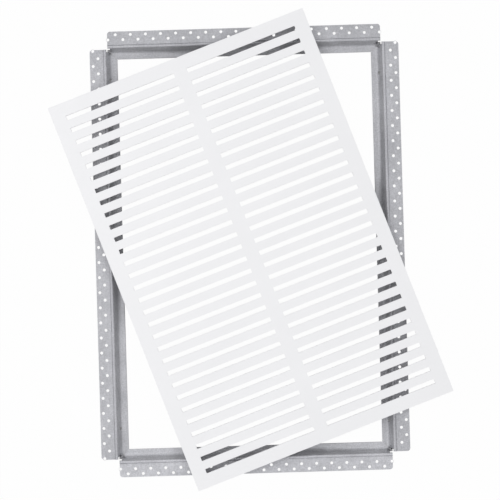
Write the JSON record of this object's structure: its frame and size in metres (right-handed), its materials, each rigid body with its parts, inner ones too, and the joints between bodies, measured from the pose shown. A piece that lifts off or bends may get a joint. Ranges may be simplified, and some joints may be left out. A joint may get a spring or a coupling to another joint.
{
  "type": "return air filter grille",
  "caption": "Flush return air grille: a galvanised plaster-in frame with perforated flanges and a stepped ledge, and a white slotted face panel on a shallow rim, lying loose on it.",
  "frame": {"origin": "under the middle of the loose panel, level with the lowest edge of the frame's ledge", "axes": "+X across the frame, +Y along it, +Z out of the wall, towards the room"},
  "size_m": [0.5884, 0.711, 0.0236],
  "materials": {
    "galvanised_sheet": "dull zinc, satin",
    "white_powder_coat": "matte, fine texture",
    "weld_metal": "as welded",
    "magnet_plating": "nickel plate"
  },
  "bodies": {
    "root": {"bottom_rail": "galvanised_sheet", "corner_weld_bottom_left": "weld_metal", "corner_weld_bottom_right": "weld_metal", "corner_weld_top_left": "weld_metal", "corner_weld_top_right": "weld_metal", "grille_panel": "white_powder_coat", "left_rail": "galvanised_sheet", "magnet_1": "magnet_plating", "magnet_2": "magnet_plating", "magnet_3": "magnet_plating", "magnet_4": "magnet_plating", "magnet_5": "magnet_plating", "magnet_6": "magnet_plating", "magnet_7": "magnet_plating", "magnet_8": "magnet_plating", "right_rail": "galvanised_sheet", "seating_rim_bottom": "white_powder_coat", "seating_rim_left": "white_powder_coat", "seating_rim_right": "white_powder_coat", "seating_rim_top": "white_powder_coat", "top_rail": "galvanised_sheet"}
  },
  "joints": []
}
